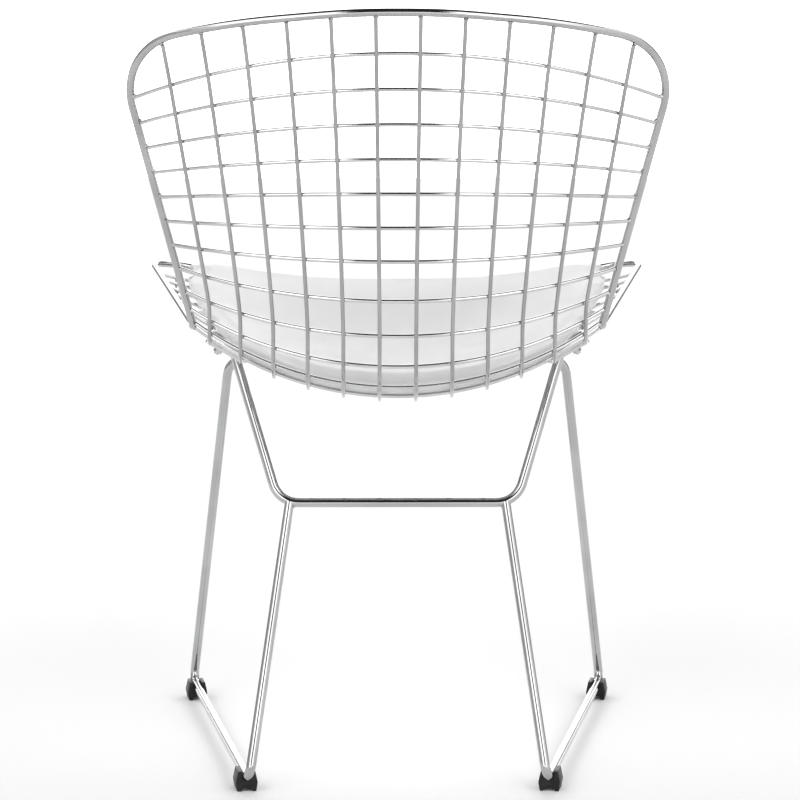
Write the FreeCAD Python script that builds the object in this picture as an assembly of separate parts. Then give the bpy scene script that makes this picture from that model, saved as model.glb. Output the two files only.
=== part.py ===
import FreeCAD, Part
import math
import os

# Chromed wire mesh side chair with a bent rod base and an upholstered seat pad.
# Millimetres and degrees, +Z up. The chair faces -Y, so the sitter's left is +X.

# Stock
rim_rod = 8.0
mesh_wire = 4.0
base_rod = 10.0
weld_gap = 0.08
least_run = 1.0

# Shell centre line, in the plane x = 0, from the back's top to the seat's front
back_lean = 22.0
back_straight = 342.5
crease_radius = 117.0
crease_y = 37.0
crease_z = 382.2
seat_radius = 470.0
seat_rise = 23.0
seat_straight = 62.0
front_radius = 200.0
front_slope = 2.0

# Shell rim, half outline, as bend corners of the rod
top_flat_x = 42.0
top_shoulder_x = 155.0
top_shoulder_forward = 15.0
top_shoulder_drop = 9.4
top_corner_x = 271.8
top_corner_forward = 61.7
top_corner_drop = 31.6
waist_x = 208.5
waist_back = 28.0
waist_rise = 73.8
front_corner_x = 281.0
front_corner_rise = 44.4
front_flat_x = 150.0
front_flat_rise = 13.4
top_bend = 420.0
shoulder_bend = 330.0
top_corner_bend = 78.0
waist_bend = 12.0
front_corner_bend = 42.0
front_bend = 640.0

# Cross wires, from the back's top to the seat's front
first_cross = 41.7
upper_cross_count = 6
upper_cross_pitch = 36.6
middle_cross_pitch = 43.5
lower_cross_pitch = 38.85
back_cross_count = 12
seat_cross_count = 8
first_side_weld = 318.0
side_weld_pitch = 28.0
side_weld_count = 9
waist_weld_pitch = 20.2
waist_weld_ease = 4.5
waist_weld_count = 3
seat_weld_pitch = 32.0

# Long wires, from the back's top over the crease to the seat's front
long_pairs = 6
top_wire_pitch = 42.5
crease_wire_pitch = 36.0
front_wire_pitch = 38.9
pitch_ease = 1.3
side_wire_start = 672.0
side_wire_gap = 0.3

# Shell mounts
plate_length = 46.0
plate_thickness = 3.0
plate_corner = 3.0
clamp_thickness = 2.5
clamp_width = 18.0
wire_bow_room = 0.6
screw_size = 5.0
screw_head = 10.0
screw_head_depth = 2.4
screw_head_gap = 0.1
screw_hole_gap = 0.3
socket_flats = 3.0
socket_depth = 1.8
screw_end = 2.0
nut_flats = 8.0
nut_height = 4.0
rear_plate_width = 20.0
rear_screw_out = 6.0
rear_arm_in = 13.0
front_plate_front = 14.0
front_plate_back = 27.0
front_screw_forward = 3.0
cross_bar_back = 20.0
cross_bar_bite = 1.6

# Base
leg_top_x = 183.0
front_foot_x = 234.0
front_foot_y = -281.0
rear_foot_x = 148.5
rear_foot_y = 197.0
rail_height = 15.0
leg_top_bend = 22.0
foot_bend = 12.0
brace_corner_x = 122.7
brace_y = 60.0
brace_height = 274.0
brace_bend = 28.0
rear_leg_top_x = 111.5

# Glides
glide_width = 22.0
glide_top_width = 17.0
glide_skid_inset = 1.5
glide_length = 25.0
glide_height = 20.5
glide_waist_height = 9.0
glide_slot = 9.2
glide_arch_width = 12.0
glide_arch_height = 4.0
glide_past_bend = 3.0

# Seat pad
pad_gap = 0.4
pad_shoulder = 22.0
pad_edge_share = 0.62
pad_side_bulge = 4.0
pad_front_gap = 4.0
pad_front_rounding = 11.0
pad_front_weld = 246.0
cover_thickness = 1.2
# Room to the rim along the mesh, and thickness, from the rear end over each cross wire to the front end
pad_rear_station = 428.0
pad_rear_edge_station = 440.0
pad_rear = (105.8, 8.0)
pad_rear_edge = (71.6, 17.0)
pad_inner = (
    (46.7, 22.0),
    (33.0, 24.0),
    (26.1, 25.0),
    (24.0, 25.0),
    (22.9, 25.0),
    (22.0, 25.0),
    (21.7, 25.0),
    (23.2, 24.5),
    (28.4, 23.5),
)
pad_front_edge = (8.5, 21.0)
pad_front = (22.5, 9.0)

V = FreeCAD.Vector
ORIGIN = V(0, 0, 0)
MIDDLE = V(1, 0, 0)


def unit(vector):
    copy = V(vector)
    copy.normalize()
    return copy


def radians(angle):
    return math.radians(angle)


def mirrored_point(point):
    return V(-point.x, point.y, point.z)


def mirrored(shape):
    return shape.mirror(ORIGIN, MIDDLE)


# Paths

def line_edge(start, end):
    return Part.LineSegment(start, end).toShape()


def arc_edge(start, direction, end):
    """Arc from start, leaving along direction, to end; a line where it is straight."""
    chord = end - start
    along = unit(chord)
    aside = direction - along * direction.dot(along)
    if aside.Length < 1e-6:
        return line_edge(start, end)
    angle = math.atan2(aside.Length, direction.dot(along))
    middle = (start + end) * 0.5 + unit(aside) * (chord.Length / 2 * math.tan(angle / 2))
    return Part.Arc(start, middle, end).toShape()


def bend_reaches(points, bends):
    """How far each bend reaches from its corner; bends that meet on a run share it."""
    runs = [end - start for start, end in zip(points, points[1:])]
    wanted = [bend * math.tan(runs[index].getAngle(runs[index + 1]) / 2) for index, bend in enumerate(bends)]
    ends = [0.0] + wanted + [0.0]
    shares = []
    for index, run in enumerate(runs):
        taken = ends[index] + ends[index + 1]
        shares.append(min(1.0, (run.Length - least_run) / taken))
    return [reach * min(shares[index], shares[index + 1]) for index, reach in enumerate(wanted)]


def bent_path(points, bends):
    """Straight runs between the points, with each inner corner bent to its radius."""
    edges = []
    here = points[0]
    for index, reach in enumerate(bend_reaches(points, bends)):
        corner = points[index + 1]
        before = unit(corner - points[index])
        after = unit(points[index + 2] - corner)
        bend_start = corner - before * reach
        bend_end = corner + after * reach
        edges.append(line_edge(here, bend_start))
        edges.append(arc_edge(bend_start, before, bend_end))
        here = bend_end
    edges.append(line_edge(here, points[-1]))
    return edges


def inverted(point, centre):
    return (point - centre) * (1 / (point - centre).Length ** 2)


def tangents(points):
    """Direction at each point of the circle through it and its neighbours."""
    result = []
    for index, point in enumerate(points):
        if index == 0:
            way = inverted(points[1], point) - inverted(points[2], point)
        elif index == len(points) - 1:
            way = inverted(points[-3], point) - inverted(points[-2], point)
        else:
            way = inverted(points[index + 1], point) - inverted(points[index - 1], point)
        result.append(unit(way))
    return result


def smooth_path(points):
    """Two tangent arcs from each point to the next, through all the points."""
    edges = []
    ways = tangents(points)
    for index in range(len(points) - 1):
        start = points[index]
        end = points[index + 1]
        leave = ways[index]
        arrive = ways[index + 1]
        chord = end - start
        slack = 2 * (1 - leave.dot(arrive))
        onward = chord.dot(leave + arrive)
        if slack < 1e-9:
            reach = chord.Length ** 2 / (2 * onward)
        else:
            reach = (math.sqrt(onward ** 2 + slack * chord.Length ** 2) - onward) / slack
        joint = (start + end) * 0.5 + (leave - arrive) * (reach / 2)
        edges.append(arc_edge(start, leave, joint))
        edges.append(arc_edge(end, arrive * -1, joint))
    return edges


def place_at(edges, distance):
    """Point and direction at a distance along a path whose edges all run forwards."""
    for edge in edges:
        if distance <= edge.Length or edge is edges[-1]:
            parameter = edge.getParameterByLength(min(distance, edge.Length))
            return edge.valueAt(parameter), edge.tangentAt(parameter)
        distance = distance - edge.Length


def point_at(edges, distance):
    return place_at(edges, distance)[0]


def tube(edges, diameter):
    """Round bar along a path."""
    path = Part.Wire(Part.__sortEdges__(edges))
    first = edges[0]
    start = first.valueAt(first.FirstParameter)
    way = first.tangentAt(first.FirstParameter)
    profile = Part.Wire(Part.Circle(start, way, diameter / 2).toShape())
    return path.makePipeShell([profile], True, False)


def checked(name, shape, diameter, length):
    """Report a bar whose volume isn't its section times its length."""
    expected = math.pi / 4 * diameter ** 2 * length
    if abs(shape.Volume / expected - 1) > 0.01:
        print(name, "volume", round(shape.Volume), "expected", round(expected))
    return shape


# Shell lines

def centre_line():
    lean = radians(back_lean)
    rise = radians(seat_rise)
    slope = radians(front_slope)
    low = V(0, crease_y, crease_z)
    turn = math.pi / 2 - lean
    back_foot = low + V(0, crease_radius * math.sin(turn), crease_radius * (1 - math.cos(turn)))
    down = V(0, -math.sin(lean), -math.cos(lean))
    back_top = back_foot - down * back_straight
    pan_end = low + V(0, -seat_radius * math.sin(rise), seat_radius * (1 - math.cos(rise)))
    climb = V(0, -math.cos(rise), math.sin(rise))
    straight_end = pan_end + climb * seat_straight
    front_step = V(0, math.sin(slope) - math.sin(rise), math.cos(slope) - math.cos(rise))
    front = straight_end + front_step * front_radius
    return [
        line_edge(back_top, back_foot),
        arc_edge(back_foot, down, low),
        arc_edge(low, V(0, -1, 0), pan_end),
        line_edge(pan_end, straight_end),
        arc_edge(straight_end, climb, front),
    ]


spine = centre_line()
back_top = spine[0].valueAt(0)
seat_front = spine[-1].valueAt(spine[-1].LastParameter)
spine_length = sum(edge.Length for edge in spine)


def half_rim():
    top = back_top
    front = seat_front
    points = [
        top,
        top + V(top_flat_x, 0, 0),
        top + V(top_shoulder_x, -top_shoulder_forward, -top_shoulder_drop),
        top + V(top_corner_x, -top_corner_forward, -top_corner_drop),
        V(waist_x, crease_y + waist_back, crease_z + waist_rise),
        front + V(front_corner_x, 0, front_corner_rise),
        front + V(front_flat_x, 0, front_flat_rise),
        front,
    ]
    bends = [top_bend, shoulder_bend, top_corner_bend, waist_bend, front_corner_bend, front_bend]
    return bent_path(points, bends)


rim_line = half_rim()
rim_length = sum(edge.Length for edge in rim_line)


def cross_stations():
    """Pairs of distances: along the centre line, and along the half rim."""
    pairs = []
    station = first_cross
    weld = first_side_weld
    for index in range(back_cross_count + seat_cross_count):
        pairs.append((station, weld))
        if index < upper_cross_count:
            station = station + upper_cross_pitch
        elif index == upper_cross_count:
            station = station + middle_cross_pitch
        else:
            station = station + lower_cross_pitch
        past_sides = index - side_weld_count + 1
        if past_sides < 0:
            weld = weld + side_weld_pitch
        elif past_sides < waist_weld_count:
            weld = weld + waist_weld_pitch - past_sides * waist_weld_ease
        else:
            weld = weld + seat_weld_pitch
    return pairs


crossings = cross_stations()


def cross_arc(station, weld):
    """Arc over the whole width, through both rim sides and the centre line."""
    side = point_at(rim_line, weld)
    return Part.Arc(mirrored_point(side), point_at(spine, station), side).toShape()


cross_arcs = [cross_arc(station, weld) for station, weld in crossings]


def wire_pitch(station):
    if station < back_straight:
        fade = (1 - station / back_straight) ** pitch_ease
        return crease_wire_pitch + (top_wire_pitch - crease_wire_pitch) * fade
    share = (station - back_straight) / (spine_length - back_straight)
    return crease_wire_pitch + (front_wire_pitch - crease_wire_pitch) * share


def mesh_point(index, steps):
    """Place on a cross wire, some wire steps to the left of the middle but clear of the rim."""
    edge = cross_arcs[index]
    beside_rim = (rim_rod + mesh_wire) / 2 + side_wire_gap
    lap = math.sqrt(beside_rim ** 2 - (mesh_wire + weld_gap) ** 2)
    reach = min(steps * wire_pitch(crossings[index][0]), edge.Length / 2 - lap)
    return place_at([edge], edge.Length / 2 + reach)


def butt_end(weld, target):
    """Where a wire that comes from target ends, with its square end against the rim."""
    spot, along = place_at(rim_line, weld)
    way = unit(target - spot)
    lean = abs(way.dot(along))
    reach = rim_rod / 2 + weld_gap + mesh_wire / 2 * lean
    return way * (reach / math.sqrt(1 - lean ** 2))


def wire_end(weld, neighbour, outward):
    """End point of a wire that stands against the rim, flush with its outside."""
    flush = outward * ((rim_rod - mesh_wire) / 2)
    return point_at(rim_line, weld) + butt_end(weld, neighbour) + flush


def long_wire_points(steps, first_index, before):
    """Centre points of a wire outside the cross wires, from the first one to the front rim."""
    front_weld = rim_length - steps * front_wire_pitch
    centres = [mesh_point(index, steps) for index in range(first_index, len(crossings))]
    spots = [before] + [centre for centre, way in centres] + [point_at(rim_line, front_weld)]
    outward = []
    for index, (centre, way) in enumerate(centres):
        outward.append(unit(way.cross(spots[index + 2] - spots[index])))
    points = [centre + out * (mesh_wire + weld_gap) for (centre, way), out in zip(centres, outward)]
    return points + [wire_end(front_weld, points[-1], outward[-1])], outward[0]


def long_wire_path(pair):
    steps = pair + 0.5
    weld = steps * top_wire_pitch
    points, outward = long_wire_points(steps, 0, point_at(rim_line, weld))
    return smooth_path([wire_end(weld, points[0], outward)] + points)


long_paths = [long_wire_path(pair) for pair in range(long_pairs)]


# Shell pieces

def shell_rim():
    half = tube(rim_line, rim_rod)
    checked("half rim", half, rim_rod, rim_length)
    return half.fuse(mirrored(half)).removeSplitter()


def mesh_tube(name, edges):
    wire = tube(edges, mesh_wire)
    return checked(name, wire, mesh_wire, sum(edge.Length for edge in edges))


def cross_wire(index):
    """Bowed wire whose square ends stand against the rim's sides."""
    arc = cross_arcs[index]
    weld = crossings[index][1]
    reach = butt_end(weld, point_at([arc], arc.Length * 0.98)).Length
    ends = [point_at([arc], reach), point_at([arc], arc.Length - reach)]
    middle = point_at([arc], arc.Length / 2)
    return mesh_tube("cross wire", [Part.Arc(ends[0], middle, ends[1]).toShape()])


def side_wire():
    """Seat wire outside the full-length ones: it starts along the side rim."""
    steps = long_pairs + 0.5
    first_index = next(i for i, (station, weld) in enumerate(crossings) if weld > side_wire_start)
    start = point_at(rim_line, side_wire_start)
    points, outward = long_wire_points(steps, first_index, start)
    lap = start - point_at(rim_line, crossings[first_index][1])
    return mesh_tube("side wire", smooth_path([points[0] + lap] + points))


def largest(shape):
    return max(shape.Solids, key=lambda solid: solid.Volume)


# Mounts

def frame_on_wires(inner, outer, interval):
    """Middle of two long wires between two cross wires, with lateral, rear and inner axes."""
    ends = []
    for path in (inner, outer):
        joint = path[2 * interval]
        ends.append(joint.valueAt(joint.LastParameter))
    back_end = inner[2 * interval].valueAt(inner[2 * interval].FirstParameter)
    front_edge = inner[2 * interval + 2]
    front_end = front_edge.valueAt(front_edge.FirstParameter)
    lateral = unit(ends[1] - ends[0])
    rearward = back_end - front_end
    rearward = unit(rearward - lateral * rearward.dot(lateral))
    inward = lateral.cross(rearward)
    return (ends[0] + ends[1]) * 0.5, lateral, rearward, inward


def placed(shape, frame):
    """Move a shape from the origin's axes to a mount's."""
    spot, lateral, rearward, inward = frame
    matrix = FreeCAD.Matrix(
        lateral.x, rearward.x, inward.x, spot.x,
        lateral.y, rearward.y, inward.y, spot.y,
        lateral.z, rearward.z, inward.z, spot.z,
        0, 0, 0, 1)
    copy = shape.copy()
    copy.Placement = FreeCAD.Placement(matrix)
    return copy


def local_point(frame, across, back, inward):
    spot, lateral, rearward, inner = frame
    return spot + lateral * across + rearward * back + inner * inward


rear_frame = frame_on_wires(long_paths[4], long_paths[5], back_cross_count + 1)
front_frame = frame_on_wires(long_paths[0], long_paths[1], back_cross_count + 5)

plate_top = -(mesh_wire / 2 + weld_gap)
plate_bottom = plate_top - plate_thickness
clamp_bottom = mesh_wire / 2 + wire_bow_room
clamp_top = clamp_bottom + clamp_thickness


def plate(length, front, back, bottom, top, screw):
    body = Part.makeBox(length, front + back, top - bottom, V(-length / 2, -front, bottom))
    edges = [edge for edge in body.Edges if abs(edge.tangentAt(0).z) > 0.9]
    body = body.makeFillet(plate_corner, edges)
    hole = Part.makeCylinder((screw_size + screw_hole_gap) / 2, top - bottom, V(screw[0], screw[1], bottom))
    return body.cut(hole)


def screw_head_cone(screw, spare):
    wide = screw_head / 2 + spare
    narrow = screw_size / 2 + spare
    return Part.makeCone(narrow, wide, screw_head_depth, V(screw[0], screw[1], clamp_top - screw_head_depth))


def screw_shape(screw):
    tail = plate_bottom - nut_height - screw_end
    base = V(screw[0], screw[1], tail)
    shank = Part.makeCylinder(screw_size / 2, clamp_top - tail - screw_head_gap, base)
    body = shank.fuse(screw_head_cone(screw, 0)).removeSplitter()
    socket = hexagon(socket_flats, socket_depth, V(screw[0], screw[1], clamp_top - socket_depth))
    return body.cut(socket)


def hexagon(flats, height, base):
    corner = flats / math.sqrt(3)
    turns = [radians(60 * index) for index in range(7)]
    points = [base + V(corner * math.cos(turn), corner * math.sin(turn), 0) for turn in turns]
    return Part.Face(Part.makePolygon(points)).extrude(V(0, 0, height))


def nut_shape(screw):
    body = hexagon(nut_flats, nut_height, V(screw[0], screw[1], plate_bottom - nut_height))
    bore = Part.makeCylinder(screw_size / 2, nut_height, V(screw[0], screw[1], plate_bottom - nut_height))
    return body.cut(bore)


rear_screw = (rear_screw_out, 0.0)
front_screw = (0.0, -front_screw_forward)


def mount_pieces(frame, screw, front, back):
    """Welded plate, clamp plate, screw and nut of one mount on the left."""
    lower = plate(plate_length, front, back, plate_bottom, plate_top, screw)
    upper = plate(plate_length, clamp_width / 2, clamp_width / 2, clamp_bottom, clamp_top, screw)
    upper = upper.cut(screw_head_cone(screw, screw_head_gap))
    shapes = (lower, upper, screw_shape(screw), nut_shape(screw))
    return [placed(shape, frame) for shape in shapes]


# Base

def brace_path():
    across = -rear_arm_in
    end = local_point(rear_frame, across, 0, plate_bottom + plate_thickness / 2)
    corner = V(brace_corner_x, brace_y, brace_height)
    points = [end, corner, mirrored_point(corner), mirrored_point(end)]
    return bent_path(points, [brace_bend, brace_bend])


def side_rod_path():
    depth = plate_bottom - base_rod / 2 + cross_bar_bite
    bar = local_point(front_frame, 0, cross_bar_back, depth)
    points = [
        V(0, bar.y, bar.z),
        V(leg_top_x, bar.y, bar.z),
        V(front_foot_x, front_foot_y, rail_height),
        V(rear_foot_x, rear_foot_y, rail_height),
        V(rear_leg_top_x, brace_y, brace_height),
    ]
    return bent_path(points, [leg_top_bend, foot_bend, foot_bend])


def glide(edges, forward, rod):
    """Clip under a floor rail, beside the bend at its front or rear end."""
    rail = edges[4]
    rail_front = rail.valueAt(rail.FirstParameter)
    rail_rear = rail.valueAt(rail.LastParameter)
    end = rail_front if forward else rail_rear
    along = unit(rail_rear - rail_front) * (1 if forward else -1)
    across = V(0, 0, 1).cross(along)
    start = V(end.x, end.y, 0) - along * glide_past_bend
    arch = glide_arch_width / 2
    half = glide_width / 2
    skid = half - glide_skid_inset
    profile = [
        (-skid, 0),
        (-arch, 0),
        (arch, 0),
        (skid, 0),
        (half, glide_waist_height),
        (glide_top_width / 2, glide_height),
        (glide_slot / 2, glide_height),
        (glide_slot / 2, rail_height),
        (-glide_slot / 2, rail_height),
        (-glide_slot / 2, glide_height),
        (-glide_top_width / 2, glide_height),
        (-half, glide_waist_height),
        (-skid, 0),
    ]
    points = [start + across * x + V(0, 0, z) for x, z in profile]
    sides = [line_edge(points[i], points[i + 1]) for i in range(len(points) - 1)]
    arch_top = start + V(0, 0, glide_arch_height)
    sides[1] = Part.Arc(points[1], arch_top, points[2]).toShape()
    body = Part.Face(Part.Wire(sides)).extrude(along * glide_length)
    return largest(body.cut(rod))


# Seat pad

def weld_at(station):
    """Distance along the half rim that belongs to a distance along the centre line."""
    index = 0
    while index < len(crossings) - 2 and crossings[index + 1][0] < station:
        index = index + 1
    before, after = crossings[index], crossings[index + 1]
    share = (station - before[0]) / (after[0] - before[0])
    return before[1] + share * (after[1] - before[1])


def pad_section(edge, normal, rim_room, thickness, inset):
    """Closed outline over a mesh arc: bowed base, crowned top and rounded sides."""
    half_width = edge.Length / 2 - rim_room
    arc = edge.Curve
    centre = arc.Center
    up = unit(centre - edge.valueAt((edge.FirstParameter + edge.LastParameter) / 2))
    normal = normal or up
    radius = arc.Radius - (mesh_wire / 2 + pad_gap + inset) / up.dot(normal)
    depth = thickness - 2 * inset
    rim_depth = depth * pad_edge_share
    shoulder = pad_shoulder * thickness / pad_inner[-1][1]
    low = (half_width - inset) / radius
    high = (half_width - inset - shoulder) / radius
    side = (low + high) / 2 + pad_side_bulge / radius

    def spot(turn, height):
        across = MIDDLE * math.sin(turn)
        base = centre + across * radius - up * (radius * math.cos(turn))
        return base + (normal * math.cos(turn) - across) * height

    return Part.Wire([
        Part.Arc(spot(-low, 0), spot(0, 0), spot(low, 0)).toShape(),
        Part.Arc(spot(low, 0), spot(side, rim_depth / 2), spot(high, rim_depth)).toShape(),
        Part.Arc(spot(high, rim_depth), spot(0, depth), spot(-high, rim_depth)).toShape(),
        Part.Arc(spot(-high, rim_depth), spot(-side, rim_depth / 2), spot(-low, 0)).toShape(),
    ])


def pad_solid(inset):
    """Loft with a section over every cross wire that the pad lies on."""
    rear = cross_arc(pad_rear_station + inset, weld_at(pad_rear_station + inset))
    rear_edge = cross_arc(pad_rear_edge_station, weld_at(pad_rear_edge_station))
    sections = [
        pad_section(rear, None, *pad_rear, inset),
        pad_section(rear_edge, None, *pad_rear_edge, inset),
    ]
    for index, size in enumerate(pad_inner):
        number = back_cross_count - 1 + index
        way = place_at(spine, crossings[number][0])[1]
        sections.append(pad_section(cross_arcs[number], way.cross(MIDDLE), *size, inset))
    side = point_at(rim_line, rim_length - pad_front_weld)
    front = Part.Arc(mirrored_point(side), seat_front, side).toShape()
    behind = rim_rod / 2 + pad_front_gap
    edge = front.translated(V(0, behind + pad_front_rounding, 0))
    end = front.translated(V(0, behind + inset, 0))
    sections.append(pad_section(edge, None, *pad_front_edge, inset))
    sections.append(pad_section(end, None, *pad_front, inset))
    return Part.makeLoft(sections, True, False)


# Assembly

def build():
    pieces = {}
    pieces["shell_rim"] = shell_rim()
    for pair, path in enumerate(long_paths):
        wire = mesh_tube("long wire", path)
        pieces["long_wire_left_%d" % (pair + 1)] = wire
        pieces["long_wire_right_%d" % (pair + 1)] = mirrored(wire)
    outer = side_wire()
    pieces["seat_side_wire_left"] = outer
    pieces["seat_side_wire_right"] = mirrored(outer)
    for index in range(back_cross_count):
        pieces["back_cross_wire_%02d" % (index + 1)] = cross_wire(index)
    for index in range(seat_cross_count):
        pieces["seat_cross_wire_%02d" % (index + 1)] = cross_wire(back_cross_count + index)

    rear = mount_pieces(rear_frame, rear_screw, rear_plate_width / 2, rear_plate_width / 2)
    front = mount_pieces(front_frame, front_screw, front_plate_front, front_plate_back)
    brace = tube(brace_path(), base_rod)
    side_path = side_rod_path()
    side_rod = tube(side_path, base_rod)
    brace = largest(brace.cut([rear[0], mirrored(rear[0])]))
    front[0] = largest(front[0].cut(side_rod))
    side_rod = largest(side_rod.cut(brace))
    pieces["base_rod_left"] = side_rod
    pieces["base_rod_right"] = mirrored(side_rod)
    pieces["brace_rod"] = brace

    for name, mount in (("rear", rear), ("front", front)):
        pieces[name + "_mount_plate_left"] = mount[0]
        pieces[name + "_mount_plate_right"] = mirrored(mount[0])
        pieces[name + "_clamp_plate_left"] = mount[1]
        pieces[name + "_clamp_plate_right"] = mirrored(mount[1])
    screws = [rear[2], front[2], mirrored(rear[2]), mirrored(front[2])]
    nuts = [rear[3], front[3], mirrored(rear[3]), mirrored(front[3])]
    pieces["clamp_screws"] = Part.makeCompound(screws)
    pieces["clamp_nuts"] = Part.makeCompound(nuts)

    for name, forward in (("front", True), ("rear", False)):
        clip = glide(side_path, forward, side_rod)
        pieces[name + "_glide_left"] = clip
        pieces[name + "_glide_right"] = mirrored(clip)

    outside = pad_solid(0)
    inside = pad_solid(cover_thickness)
    pieces["pad_cover"] = outside.cut(inside)
    pieces["pad_foam"] = inside
    return pieces


def centred(pieces):
    """Put the origin on the floor under the middle of the whole chair's box."""
    box = FreeCAD.BoundBox()
    for shape in pieces.values():
        box.add(shape.optimalBoundingBox(False, False))
    shift = V(0, -(box.YMin + box.YMax) / 2, 0)
    print("box", round(box.XLength, 2), round(box.YLength, 2), round(box.ZLength, 2),
          "z from", round(box.ZMin, 3), "shift", round(shift.y, 3))
    return {name: shape.translated(shift) for name, shape in pieces.items()}


os.makedirs("parts", exist_ok=True)
for name, shape in centred(build()).items():
    if not shape.isValid():
        print(name, "isn't valid")
    shape.exportStep("parts/" + name + ".step")
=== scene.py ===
import math
from operator import attrgetter

import bmesh
import bpy
from mathutils import Matrix, Vector
from mathutils.bvhtree import BVHTree


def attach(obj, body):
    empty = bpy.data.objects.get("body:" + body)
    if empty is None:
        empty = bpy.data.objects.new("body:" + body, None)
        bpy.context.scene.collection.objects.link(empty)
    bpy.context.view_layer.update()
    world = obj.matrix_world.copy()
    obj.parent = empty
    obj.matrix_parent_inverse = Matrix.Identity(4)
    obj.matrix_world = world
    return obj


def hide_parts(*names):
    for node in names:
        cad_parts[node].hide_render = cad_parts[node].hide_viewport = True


bl_info = {
    "name": "Wire Mesh Chair",
    "version": (1, 0, 0),
    "blender": (4, 5, 0),
    "location": "3D View > Sidebar > Chair",
    "description": "Dresses the wire mesh chair: welds, glides, seat pad, finishes and stage",
    "category": "Object",
}

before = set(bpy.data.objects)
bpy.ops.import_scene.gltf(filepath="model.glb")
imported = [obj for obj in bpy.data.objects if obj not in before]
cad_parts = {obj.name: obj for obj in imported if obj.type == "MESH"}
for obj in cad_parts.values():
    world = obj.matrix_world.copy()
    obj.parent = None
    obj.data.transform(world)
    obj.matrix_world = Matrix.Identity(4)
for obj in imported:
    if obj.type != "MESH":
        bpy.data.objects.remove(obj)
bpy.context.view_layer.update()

CROSS_WIRES = ["back_cross_wire_%02d" % n for n in range(1, 13)]
CROSS_WIRES += ["seat_cross_wire_%02d" % n for n in range(1, 9)]
LONG_WIRES = ["long_wire_%s_%d" % (side, n) for side in ("left", "right") for n in range(1, 7)]
SIDE_WIRES = ["seat_side_wire_left", "seat_side_wire_right"]
BASE_RODS = ["base_rod_left", "base_rod_right", "brace_rod"]
PLATES = ["%s_%s_plate_%s" % (end, kind, side)
          for end in ("front", "rear") for kind in ("mount", "clamp") for side in ("left", "right")]
FASTENERS = ["clamp_screws", "clamp_nuts"]
GLIDES = ["%s_glide_%s" % (end, side) for end in ("front", "rear") for side in ("left", "right")]


# Lengths are in metres.
WELD_REACH = 0.001       # widest gap that a weld bridges
WELD_TURN = 2.4          # each bead is turned this much further than the last, in radians
WELD_UNEVEN = 0.12       # how far a bead's points stray, as a share of its radius
LEG_WELD = (0.0062, 0.0030)      # radius and height
CROSSING_STEPS = 24
CROSSINGS_EXPECTED = 0.9         # share of the long and cross wires' crossings
PLATING_RIPPLE = 0.0001
PLATE_COLOUR, PLATE_GLOSS, PLATE_RIPPLE = (0.62, 0.62, 0.63), 0.18, 0.0006
ZINC_COLOUR, ZINC_GLOSS, ZINC_RIPPLE = (0.52, 0.52, 0.53), 0.26, 0.0003
VINYL_CREASE = 0.0012
PAD_VOXEL = 0.005
PAD_SMOOTHING = 14
PAD_SUBDIVISIONS = 1
HELD_BELOW = -0.2        # points whose normal is lower than this lie on the wires
UNDERSIDE_BELOW = -0.25  # faces whose normal is lower than this are the underside
FOAM_SETTLE = 0.0015     # how far the foam draws in before it is stuffed
CLOTH_FRAMES = 20
CLOTH_PRESSURE = 4
WELT_SMOOTHING = 60
WELT_SNAP = 10           # the cord is laid back on the pad after this many rounds
WELT_SPACING = 3
WELT_LIFT = 0.0002       # room between the cord and the underside
FLOOR_RADIUS = 14

# Working on objects

def select_only(*objects):
    bpy.ops.object.select_all(action="DESELECT")
    for piece in objects:
        piece.select_set(True)
    bpy.context.view_layer.objects.active = objects[-1]


def copied_node(node, name):
    """Copy of a CAD node with its loose triangles joined."""
    piece = bpy.data.objects.new(name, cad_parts[node].data.copy())
    bpy.context.scene.collection.objects.link(piece)
    piece.data.materials.clear()
    select_only(piece)
    bpy.ops.object.mode_set(mode="EDIT")
    bpy.ops.mesh.select_all(action="SELECT")
    bpy.ops.mesh.remove_doubles(threshold=0.00001)
    bpy.ops.mesh.customdata_custom_splitnormals_clear()
    bpy.ops.object.mode_set(mode="OBJECT")
    return piece


def add_modifier(piece, kind, **settings):
    modifier = piece.modifiers.new(kind.title(), kind)
    for key, value in settings.items():
        setattr(modifier, key, value)
    return modifier


def apply_modifiers(piece):
    select_only(piece)
    for modifier in list(piece.modifiers):
        bpy.ops.object.modifier_apply(modifier=modifier.name)


def finish_piece(piece, material):
    """Put the piece's place into its mesh, give it its finish and let it ride on the chair."""
    select_only(piece)
    bpy.ops.object.transform_apply(location=True, rotation=True, scale=True)
    piece.data.materials.clear()
    piece.data.materials.append(material)
    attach(piece, "root")
    return piece


def paint(node, material):
    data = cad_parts[node].data
    if not data.materials:
        data.materials.append(material)
    for index in range(len(data.materials)):
        data.materials[index] = material


# Finishes

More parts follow.
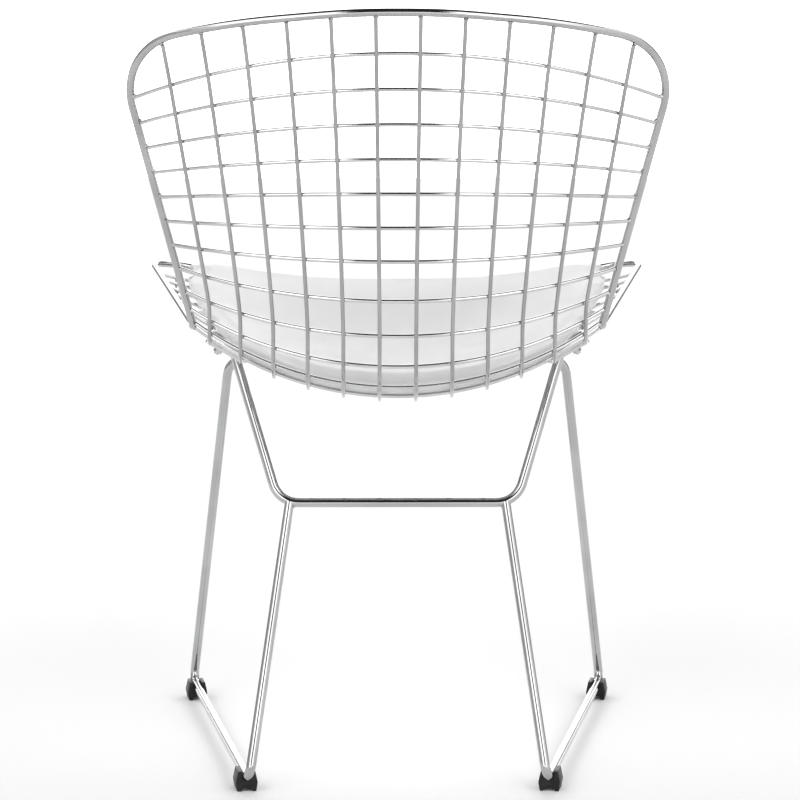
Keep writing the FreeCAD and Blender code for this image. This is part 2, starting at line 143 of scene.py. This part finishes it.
class Finish:
    """A node material that is built step by step."""

    def __init__(self, name):
        self.material = bpy.data.materials.new(name)
        self.material.use_nodes = True
        self.nodes = self.material.node_tree.nodes
        self.links = self.material.node_tree.links
        self.shader = self.nodes["Principled BSDF"]
        self.place = self.nodes.new("ShaderNodeTexCoord").outputs["Object"]

    def set(self, **values):
        for key, value in values.items():
            self.shader.inputs[key.replace("_", " ")].default_value = value

    def noise(self, scale, detail=3.0, roughness=0.5, stretch=(1, 1, 1)):
        mapping = self.nodes.new("ShaderNodeMapping")
        mapping.inputs["Scale"].default_value = stretch
        node = self.nodes.new("ShaderNodeTexNoise")
        node.inputs["Scale"].default_value = scale
        node.inputs["Detail"].default_value = detail
        node.inputs["Roughness"].default_value = roughness
        self.links.new(self.place, mapping.inputs["Vector"])
        self.links.new(mapping.outputs["Vector"], node.inputs["Vector"])
        return node.outputs["Fac"]

    def cells(self, scale):
        node = self.nodes.new("ShaderNodeTexVoronoi")
        node.inputs["Scale"].default_value = scale
        self.links.new(self.place, node.inputs["Vector"])
        return node.outputs["Distance"]

    def ramp(self, source, stops):
        node = self.nodes.new("ShaderNodeValToRGB")
        ramp = node.color_ramp.elements
        while len(ramp) < len(stops):
            ramp.new(0.5)
        for element, (position, value) in zip(ramp, stops):
            element.position = position
            grey = value if isinstance(value, tuple) else (value, value, value)
            element.color = (*grey, 1)
        self.links.new(source, node.inputs["Fac"])
        return node.outputs["Color"]

    def bump(self, source, depth, strength=1.0, under=None):
        node = self.nodes.new("ShaderNodeBump")
        node.inputs["Distance"].default_value = depth
        node.inputs["Strength"].default_value = strength
        self.links.new(source, node.inputs["Height"])
        if under is not None:
            self.links.new(under, node.inputs["Normal"])
        return node.outputs["Normal"]

    def link(self, source, socket):
        self.links.new(source, self.shader.inputs[socket])


def chrome(name, colour, gloss, ripple):
    """Plated steel: a little uneven from polishing, with faint handling marks."""
    finish = Finish(name)
    finish.set(Metallic=1.0)
    tone = finish.noise(22.0, detail=4.0)
    dark = tuple(0.86 * part for part in colour)
    finish.link(finish.ramp(tone, [(0.35, dark), (0.62, tuple(colour))]), "Base Color")
    marks = finish.noise(160.0, detail=5.0, roughness=0.65)
    finish.link(finish.ramp(marks, [(0.4, gloss), (0.8, gloss + 0.07)]), "Roughness")
    wave = finish.bump(finish.noise(55.0, detail=2.0), ripple)
    finish.link(finish.bump(marks, ripple * 0.12, under=wave), "Normal")
    return finish.material


def weld_metal():
    finish = Finish("weld_metal")
    finish.set(Metallic=1.0)
    spots = finish.noise(420.0, detail=3.0)
    finish.link(finish.ramp(spots, [(0.35, 0.16), (0.65, 0.72)]), "Base Color")
    finish.link(finish.ramp(spots, [(0.3, 0.14), (0.7, 0.4)]), "Roughness")
    finish.link(finish.bump(spots, 0.0004), "Normal")
    return finish.material


def moulded_plastic(colour):
    """Black nylon with a fine spark texture and scuffed high spots."""
    finish = Finish("glide_plastic")
    finish.set(IOR=1.36)
    scuffs = finish.noise(90.0, detail=6.0, roughness=0.7)
    light = tuple(part + 0.02 for part in colour)
    finish.link(finish.ramp(scuffs, [(0.45, tuple(colour)), (0.8, light)]), "Base Color")
    finish.link(finish.ramp(scuffs, [(0.3, 0.34), (0.75, 0.58)]), "Roughness")
    grain = finish.noise(1600.0, detail=2.0)
    finish.link(finish.bump(grain, 0.00008, under=finish.bump(scuffs, 0.0001)), "Normal")
    return finish.material


def white_vinyl(name, colour, wrinkle):
    """Upholstery vinyl: pebbled grain, soft sheen and shallow creases."""
    finish = Finish(name)
    finish.set(IOR=1.48, Sheen_Weight=0.12, Sheen_Roughness=0.45,
               Coat_Weight=0.08, Coat_Roughness=0.4)
    cloud = finish.noise(9.0, detail=4.0)
    shade = tuple(0.965 * part for part in colour)
    finish.link(finish.ramp(cloud, [(0.35, shade), (0.65, tuple(colour))]), "Base Color")
    wear = finish.noise(48.0, detail=4.0)
    finish.link(finish.ramp(wear, [(0.3, 0.42), (0.7, 0.55)]), "Roughness")
    grain = finish.bump(finish.cells(900.0), 0.00012, strength=0.8)
    creases = finish.noise(26.0, detail=5.0, roughness=0.6, stretch=(1.0, 0.28, 1.0))
    finish.link(finish.bump(creases, wrinkle, under=grain), "Normal")
    return finish.material


# Settings

class ShellSettings(bpy.types.PropertyGroup):
    colour: bpy.props.FloatVectorProperty(
        name="Rim colour", description="Colour of the plating on the rim", subtype="COLOR",
        size=3, min=0, max=1, default=(0.50, 0.50, 0.505))
    # Lighter than the rim's plating: a painted highlight on the cross wires, which are the same
    # plated steel as the rim
    cross_highlight_colour: bpy.props.FloatVectorProperty(
        name="Cross wire colour, painted highlight", description="Colour of the plating on the cross wires, lightened as a painted highlight",
        subtype="COLOR", size=3, min=0, max=1, default=(0.64, 0.64, 0.645))
    # Darker than the rim's plating: painted shade on the long and side wires, which are the same
    # plated steel as the rim
    long_wire_shade_colour: bpy.props.FloatVectorProperty(
        name="Long wire colour, painted shade", description="Colour of the plating on the long wires, darkened as painted shade",
        subtype="COLOR", size=3, min=0, max=1, default=(0.44, 0.44, 0.445))
    gloss: bpy.props.FloatProperty(
        name="Roughness", description="Roughness of the shell's plating",
        min=0, max=1, default=0.05)
    weld_size: bpy.props.FloatProperty(
        name="Weld size", description="Width of the mark at each crossing", subtype="DISTANCE",
        unit="LENGTH", min=0.001, max=0.01, default=0.0030)


class BaseSettings(bpy.types.PropertyGroup):
    colour: bpy.props.FloatVectorProperty(
        name="Chrome colour", description="Colour of the plated base", subtype="COLOR",
        size=3, min=0, max=1, default=(0.51, 0.51, 0.515))
    gloss: bpy.props.FloatProperty(
        name="Roughness", description="Roughness of the base's plating", min=0, max=1, default=0.05)
    glide_colour: bpy.props.FloatVectorProperty(
        name="Glide colour", description="Colour of the glides", subtype="COLOR",
        size=3, min=0, max=1, default=(0.004, 0.004, 0.0045))
    glide_edge: bpy.props.FloatProperty(
        name="Glide edge", description="Rounding of the glides' moulded edges", subtype="DISTANCE",
        unit="LENGTH", min=0.0001, max=0.002, default=0.0006)


class PadSettings(bpy.types.PropertyGroup):
    colour: bpy.props.FloatVectorProperty(
        name="Vinyl colour", description="Colour of the seat pad's cover", subtype="COLOR",
        size=3, min=0, max=1, default=(0.66, 0.66, 0.66))
    fill: bpy.props.FloatProperty(
        name="Fill", description="How tightly the foam fills the cover", min=0, max=1, default=0.75)
    swell: bpy.props.FloatProperty(
        name="Swell", description="Furthest that the cover may rise over the foam",
        subtype="DISTANCE", unit="LENGTH", min=0, max=0.02, default=0.003)
    welt: bpy.props.FloatProperty(
        name="Welt radius", description="Radius of the cord sewn into the lower seam",
        subtype="DISTANCE", unit="LENGTH", min=0.0005, max=0.004, default=0.0014)


class StageSettings(bpy.types.PropertyGroup):
    camera_spot: bpy.props.FloatVectorProperty(
        name="Camera", description="Where the camera stands", subtype="TRANSLATION",
        size=3, default=(0.0109, 3.1214, 0.7402))
    camera_pitch: bpy.props.FloatProperty(
        name="Pitch", description="How far the camera looks down", subtype="ANGLE",
        default=math.radians(6.706))
    camera_turn: bpy.props.FloatProperty(
        name="Turn", description="How far the camera looks past the middle", subtype="ANGLE",
        default=math.radians(0.25))
    lens: bpy.props.FloatProperty(
        name="Lens", description="Focal length of the camera in millimetres", default=135.0)
    brightness: bpy.props.FloatProperty(
        name="Brightness", description="Strength of the studio's white light", min=0, default=2.65)
    right_wall: bpy.props.FloatProperty(
        name="Right wall", description="Brightness of the light grey wall", min=0, default=1.1)
    left_wall: bpy.props.FloatProperty(
        name="Left wall", description="Brightness of the darker grey wall", min=0, default=0.6)
    panels: bpy.props.FloatProperty(
        name="Panels", description="Brightness of the panels beside the backdrop",
        min=0, default=0.35)
    ceiling: bpy.props.FloatProperty(
        name="Ceiling", description="Brightness of the ceiling and the doorway",
        min=0, default=0.04)


# Pieces

ALONG_X, ALONG_Y, ALONG_Z = attrgetter("x"), attrgetter("y"), attrgetter("z")


def surface(node):
    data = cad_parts[node].data
    return BVHTree.FromPolygons([vertex.co for vertex in data.vertices],
                                [face.vertices[:] for face in data.polygons])


def corners_of(node):
    spots = {vertex.co.to_tuple(5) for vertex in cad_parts[node].data.vertices}
    return [Vector(spot) for spot in spots]


def crossing(first, second, start):
    """Middle and direction of the gap between two rods, found by going from one to the other."""
    near = first.find_nearest(start)[0]
    for _ in range(CROSSING_STEPS):
        far = second.find_nearest(near)[0]
        near = first.find_nearest(far)[0]
    return (near + far) / 2, far - near


def weld_bead(radius, height):
    """One squeezed, slightly uneven bead of metal."""
    bpy.ops.object.select_all(action="DESELECT")
    bpy.ops.mesh.primitive_uv_sphere_add(segments=10, ring_count=6, radius=radius)
    bead = bpy.context.object
    bpy.ops.object.mode_set(mode="EDIT")
    bpy.ops.mesh.select_all(action="SELECT")
    bpy.ops.transform.resize(value=(1, 1, height / radius))
    bpy.ops.transform.vertex_random(offset=radius * WELD_UNEVEN, seed=7)
    bpy.ops.object.mode_set(mode="OBJECT")
    bpy.ops.object.shade_smooth()
    return bead


def weld_run(name, slot, spots, radius, height, material):
    """The same bead at every spot, each turned another way, joined to one piece."""
    bead = weld_bead(radius, height)
    beads = []
    for number, (place, gap) in enumerate(spots):
        copy = bead.copy()
        copy.data = bead.data.copy()
        bpy.context.scene.collection.objects.link(copy)
        turn = gap.to_track_quat("Z", "Y").to_matrix().to_4x4()
        spin = Matrix.Rotation(WELD_TURN * number, 4, "Z")
        copy.matrix_world = Matrix.Translation(place) @ turn @ spin
        beads.append(copy)
    bpy.data.objects.remove(bead)
    select_only(*beads)
    bpy.ops.object.join()
    piece = bpy.context.object
    piece.name = name
    return finish_piece(piece, material)


class CHAIR_OT_shell(bpy.types.Operator):
    """Plate the shell and mark its welds"""
    bl_idname = "chair.shell"
    bl_label = "Shell"

    def execute(self, context):
        settings = context.scene.chair_shell
        for name, colour, nodes in (
                ("rim_chrome", settings.colour, ["shell_rim"]),
                # cross wires: a lightened copy of the plating, painted highlight
                ("cross_wire_chrome", settings.cross_highlight_colour, CROSS_WIRES),
                # long and side wires: a darkened copy of the plating, painted shade
                ("long_wire_chrome", settings.long_wire_shade_colour, LONG_WIRES + SIDE_WIRES)):
            plating = chrome(name, colour, settings.gloss, PLATING_RIPPLE)
            for node in nodes:
                paint(node, plating)
        self.add_welds(settings)
        return {"FINISHED"}

    def add_welds(self, settings):
        metal = weld_metal()
        rods = ["shell_rim"] + CROSS_WIRES + LONG_WIRES + SIDE_WIRES
        trees = {node: surface(node) for node in rods}
        spots = []
        for cross in CROSS_WIRES:
            points = corners_of(cross)
            for wire in LONG_WIRES + SIDE_WIRES:
                tree = trees[wire]
                start = min(points, key=lambda point: tree.find_nearest(point)[3])
                place, gap = crossing(trees[cross], tree, start)
                if 0 < gap.length < WELD_REACH:
                    spots.append((place, gap))
        if len(spots) < len(CROSS_WIRES) * len(LONG_WIRES) * CROSSINGS_EXPECTED:
            raise RuntimeError("only %d crossings found" % len(spots))
        weld_run("crossing_welds", "shell_chrome", spots, settings.weld_size * 0.62,
                 settings.weld_size * 0.2, metal)
        ends = []
        for wire in CROSS_WIRES + LONG_WIRES + SIDE_WIRES:
            points = corners_of(wire)
            if wire in CROSS_WIRES:
                tips = [min(points, key=ALONG_X), max(points, key=ALONG_X)]
            elif wire in LONG_WIRES:
                tips = [max(points, key=ALONG_Z), min(points, key=ALONG_Y)]
            else:
                tips = [min(points, key=ALONG_Y), max(points, key=ALONG_Y)]
            for tip in tips:
                place, gap = crossing(trees["shell_rim"], trees[wire], tip)
                if 0 < gap.length < WELD_REACH:
                    ends.append((place, gap))
        weld_run("rim_welds", "shell_chrome", ends, settings.weld_size * 0.85,
                 settings.weld_size * 0.4, metal)


class CHAIR_OT_base(bpy.types.Operator):
    """Plate the base, its plates and its screws"""
    bl_idname = "chair.base"
    bl_label = "Base"

    def execute(self, context):
        settings = context.scene.chair_base
        plating = chrome("base_chrome", settings.colour, settings.gloss, PLATING_RIPPLE)
        for node in BASE_RODS:
            paint(node, plating)
        plate = chrome("plate_chrome", PLATE_COLOUR, PLATE_GLOSS, PLATE_RIPPLE)
        for node in PLATES:
            paint(node, plate)
        zinc = chrome("fastener_zinc", ZINC_COLOUR, ZINC_GLOSS, ZINC_RIPPLE)
        for node in FASTENERS:
            paint(node, zinc)
        self.add_welds()
        return {"FINISHED"}

    def add_welds(self):
        """Lumps where each rear leg meets the brace rod."""
        brace = surface("brace_rod")
        spots = []
        for rod in BASE_RODS[:2]:
            points = corners_of(rod)
            start = min(points, key=lambda point: brace.find_nearest(point)[3])
            spots.append(crossing(brace, surface(rod), start))
        weld_run("leg_welds", "base_chrome", spots, *LEG_WELD, weld_metal())


class CHAIR_OT_glides(bpy.types.Operator):
    """Mould the four glides with rounded edges"""
    bl_idname = "chair.glides"
    bl_label = "Glides"

    def execute(self, context):
        settings = context.scene.chair_base
        plastic = moulded_plastic(settings.glide_colour)
        for node in GLIDES:
            piece = copied_node(node, node + "_moulding")
            add_modifier(piece, "DECIMATE", decimate_type="DISSOLVE", angle_limit=math.radians(4))
            add_modifier(piece, "BEVEL", width=settings.glide_edge, segments=3,
                         limit_method="ANGLE", angle_limit=math.radians(35), harden_normals=False)
            apply_modifiers(piece)
            bpy.ops.object.shade_smooth_by_angle(angle=math.radians(40))
            finish_piece(piece, plastic)
            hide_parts(node)
        return {"FINISHED"}


class CHAIR_OT_seat_pad(bpy.types.Operator):
    """Stuff and upholster the seat pad"""
    bl_idname = "chair.seat_pad"
    bl_label = "Seat pad"

    def execute(self, context):
        settings = context.scene.chair_pad
        piece = copied_node("pad_cover", "seat_pad")
        add_modifier(piece, "REMESH", mode="VOXEL", voxel_size=PAD_VOXEL)
        add_modifier(piece, "SMOOTH", factor=0.5, iterations=PAD_SMOOTHING)
        apply_modifiers(piece)
        self.stuff(context.scene, piece, settings.swell)
        add_modifier(piece, "SUBSURF", levels=PAD_SUBDIVISIONS,
                     render_levels=PAD_SUBDIVISIONS)
        apply_modifiers(piece)
        vinyl = white_vinyl("pad_vinyl", settings.colour, VINYL_CREASE)
        finish_piece(piece, vinyl)
        bpy.ops.object.shade_smooth()
        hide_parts("pad_cover", "pad_foam")
        self.sew_welt(context.scene, piece, settings.welt, vinyl)
        return {"FINISHED"}

    def stuff(self, scene, piece, swell):
        """Let the cover swell over the foam, with its underside held on the wires."""
        free = [vertex for vertex in piece.data.vertices if vertex.normal.z > HELD_BELOW]
        held = sorted(set(range(len(piece.data.vertices))) - {vertex.index for vertex in free})
        piece.vertex_groups.new(name="held").add(held, 1.0, "REPLACE")
        for vertex in free:
            vertex.co -= vertex.normal * FOAM_SETTLE
        before = [vertex.co.copy() for vertex in piece.data.vertices]
        cloth = piece.modifiers.new("Cloth", "CLOTH")
        cloth.settings.vertex_group_mass = "held"
        cloth.settings.use_pressure = True
        cloth.settings.uniform_pressure_force = CLOTH_PRESSURE
        cloth.settings.effector_weights.gravity = 0
        cloth.point_cache.frame_end = CLOTH_FRAMES
        for number in range(1, CLOTH_FRAMES + 1):
            scene.frame_set(number)
        apply_modifiers(piece)
        for vertex, place in zip(piece.data.vertices, before):
            move = vertex.co - place
            if move.length > swell:
                vertex.co = place + move.normalized() * swell
        scene.frame_set(1)

    def sew_welt(self, scene, pad, radius, vinyl):
        """Cord along the seam between the pad's side and its underside."""
        shape = bmesh.new()
        shape.from_mesh(pad.data)
        rim = []
        for edge in shape.edges:
            under = [face.normal.z < UNDERSIDE_BELOW for face in edge.link_faces]
            if len(under) == 2 and under[0] != under[1]:
                rim.append(edge)
        links = {}
        for edge in rim:
            for here, there in (edge.verts, reversed(edge.verts)):
                links.setdefault(here.index, []).append(there.index)
        places = [vertex.co.copy() for vertex in shape.verts]
        tree = BVHTree.FromBMesh(shape)
        shape.free()
        loops = []
        left = set(links)
        while left:
            loop = [left.pop()]
            while True:
                onward = [index for index in links[loop[-1]] if index in left]
                if not onward:
                    break
                loop.append(onward[0])
                left.discard(onward[0])
            loops.append(loop)
        line = [places[index] for index in max(loops, key=len)]
        count = len(line)
        for turn in range(1, WELT_SMOOTHING + 1):
            line = [(line[n - 1] + line[n] * 2 + line[(n + 1) % count]) / 4 for n in range(count)]
            if turn % WELT_SNAP == 0:
                line = [tree.find_nearest(point)[0] for point in line]
        line = line[::WELT_SPACING]
        curve = bpy.data.curves.new("pad_welt", "CURVE")
        curve.dimensions = "3D"
        curve.bevel_depth = radius
        curve.bevel_resolution = 2
        curve.resolution_u = 2
        spline = curve.splines.new("NURBS")
        spline.points.add(len(line) - 1)
        for point, place in zip(spline.points, line):
            point.co = (place.x, place.y, place.z + radius + WELT_LIFT, 1)
        spline.use_cyclic_u = True
        welt = bpy.data.objects.new("pad_welt", curve)
        scene.collection.objects.link(welt)
        select_only(welt)
        bpy.ops.object.convert(target="MESH")
        welt = finish_piece(bpy.context.object, vinyl)
        bpy.ops.object.shade_smooth()


# Stage

class Room:
    """Brightness of a studio by direction: x is the camera's left, y is its side of the chair."""

    def __init__(self, tree):
        self.nodes = tree.nodes
        self.links = tree.links
        place = self.nodes.new("ShaderNodeTexCoord")
        split = self.nodes.new("ShaderNodeSeparateXYZ")
        self.links.new(place.outputs["Generated"], split.inputs["Vector"])
        self.x, self.y, self.z = split.outputs
        self.aside = self.math("ABSOLUTE", self.x)

    def math(self, operation, *values):
        node = self.nodes.new("ShaderNodeMath")
        node.operation = operation
        for socket, value in zip(node.inputs, values):
            self.feed(value, socket)
        return node.outputs["Value"]

    def feed(self, value, socket):
        if isinstance(value, bpy.types.NodeSocket):
            self.links.new(value, socket)
        else:
            socket.default_value = value

    def value(self, number):
        node = self.nodes.new("ShaderNodeValue")
        node.outputs["Value"].default_value = number
        return node.outputs["Value"]

    def blend(self, first, second, share):
        """first where share is 0, second where it is 1."""
        return self.math("ADD", self.math("MULTIPLY", first, self.math("SUBTRACT", 1.0, share)),
                         self.math("MULTIPLY", second, share))

    def past(self, source, edge, softness):
        """0 below the edge and 1 above it, or the other way round where softness is negative."""
        node = self.nodes.new("ShaderNodeMapRange")
        node.interpolation_type = "SMOOTHSTEP"
        node.inputs["From Min"].default_value = edge - softness
        node.inputs["From Max"].default_value = edge + softness
        self.links.new(source, node.inputs["Value"])
        return node.outputs["Result"]

    def all_of(self, *shares):
        share = shares[0]
        for other in shares[1:]:
            share = self.math("MULTIPLY", share, other)
        return share

    def overhead(self):
        return self.past(self.z, 0.80, 0.05)

    def right_wall(self):
        """Light grey wall on the camera's right."""
        return self.past(self.x, -0.62, -0.15)

    def left_wall(self):
        """Darker grey wall on the camera's left."""
        return self.past(self.x, 0.66, 0.12)

    def backdrop_sides(self):
        """Grey panels that stand beside the backdrop."""
        return self.all_of(self.past(self.y, -0.25, -0.15), self.past(self.aside, 0.34, 0.07),
                           self.past(self.z, 0.05, 0.03), self.past(self.z, 0.55, -0.10))

    def doorway(self):
        """Narrow dark opening behind the camera."""
        return self.all_of(self.past(self.y, 0.06, 0.05), self.past(self.aside, 0.20, -0.05),
                           self.past(self.z, 0.10, 0.06))


class CHAIR_OT_stage(bpy.types.Operator):
    """Set up the pale floor, the soft studio light and the camera"""
    bl_idname = "chair.stage"
    bl_label = "Stage"

    def execute(self, context):
        settings = context.scene.chair_stage
        self.add_floor()
        self.light_studio(context.scene, settings)
        self.add_camera(context.scene, settings)
        return {"FINISHED"}

    def add_floor(self):
        bpy.ops.object.select_all(action="DESELECT")
        bpy.ops.mesh.primitive_circle_add(vertices=96, radius=FLOOR_RADIUS, fill_type="NGON",
                                          location=(0, 0, 0))
        floor = bpy.context.object
        floor.name = "floor"
        finish = Finish("floor_paint")
        finish.set(Roughness=0.75)
        finish.link(finish.ramp(finish.noise(0.6), [(0.3, 0.94), (0.7, 0.96)]), "Base Color")
        floor.data.materials.append(finish.material)

    def light_studio(self, scene, settings):
        """Soft white light from all around, under a dark ceiling."""
        world = bpy.data.worlds.new("studio")
        world.use_nodes = True
        scene.world = world
        scene.view_settings.view_transform = "Standard"
        room = Room(world.node_tree)
        light = room.value(settings.brightness)
        light = room.blend(light, settings.right_wall, room.right_wall())
        light = room.blend(light, settings.left_wall, room.left_wall())
        light = room.blend(light, settings.panels, room.backdrop_sides())
        light = room.blend(light, settings.ceiling, room.overhead())
        light = room.blend(light, settings.ceiling, room.doorway())
        background = world.node_tree.nodes["Background"]
        world.node_tree.links.new(light, background.inputs["Color"])

    def add_camera(self, scene, settings):
        data = bpy.data.cameras.new("camera")
        data.lens = settings.lens
        data.sensor_width = 36
        data.sensor_fit = "HORIZONTAL"
        data.clip_end = 100
        camera = bpy.data.objects.new("camera", data)
        scene.collection.objects.link(camera)
        camera.location = settings.camera_spot
        camera.rotation_euler = (math.pi / 2 - settings.camera_pitch, 0,
                                 math.pi - settings.camera_turn)
        scene.camera = camera


class CHAIR_PT_panel(bpy.types.Panel):
    """The chair's pieces and their settings"""
    bl_idname = "CHAIR_PT_panel"
    bl_label = "Wire Mesh Chair"
    bl_space_type = "VIEW_3D"
    bl_region_type = "UI"
    bl_category = "Chair"

    def draw(self, context):
        scene = context.scene
        groups = (
            (scene.chair_shell, ("chair.shell",)),
            (scene.chair_base, ("chair.base", "chair.glides")),
            (scene.chair_pad, ("chair.seat_pad",)),
            (scene.chair_stage, ("chair.stage",)),
        )
        for settings, operators in groups:
            box = self.layout.box()
            for name in settings.bl_rna.properties.keys():
                if name not in ("rna_type", "name"):
                    box.prop(settings, name)
            for operator in operators:
                box.operator(operator)


GROUPS = {
    "chair_shell": ShellSettings,
    "chair_base": BaseSettings,
    "chair_pad": PadSettings,
    "chair_stage": StageSettings,
}
CLASSES = (
    CHAIR_OT_shell,
    CHAIR_OT_base,
    CHAIR_OT_glides,
    CHAIR_OT_seat_pad,
    CHAIR_OT_stage,
    CHAIR_PT_panel,
)


def register():
    for name, group in GROUPS.items():
        bpy.utils.register_class(group)
        setattr(bpy.types.Scene, name, bpy.props.PointerProperty(type=group))
    for cls in CLASSES:
        bpy.utils.register_class(cls)


def unregister():
    for cls in reversed(CLASSES):
        bpy.utils.unregister_class(cls)
    for name, group in GROUPS.items():
        delattr(bpy.types.Scene, name)
        bpy.utils.unregister_class(group)


def main():
    register()
    bpy.ops.chair.shell()
    bpy.ops.chair.base()
    bpy.ops.chair.glides()
    bpy.ops.chair.seat_pad()
    bpy.ops.chair.stage()


if __name__ == "__main__":
    main()
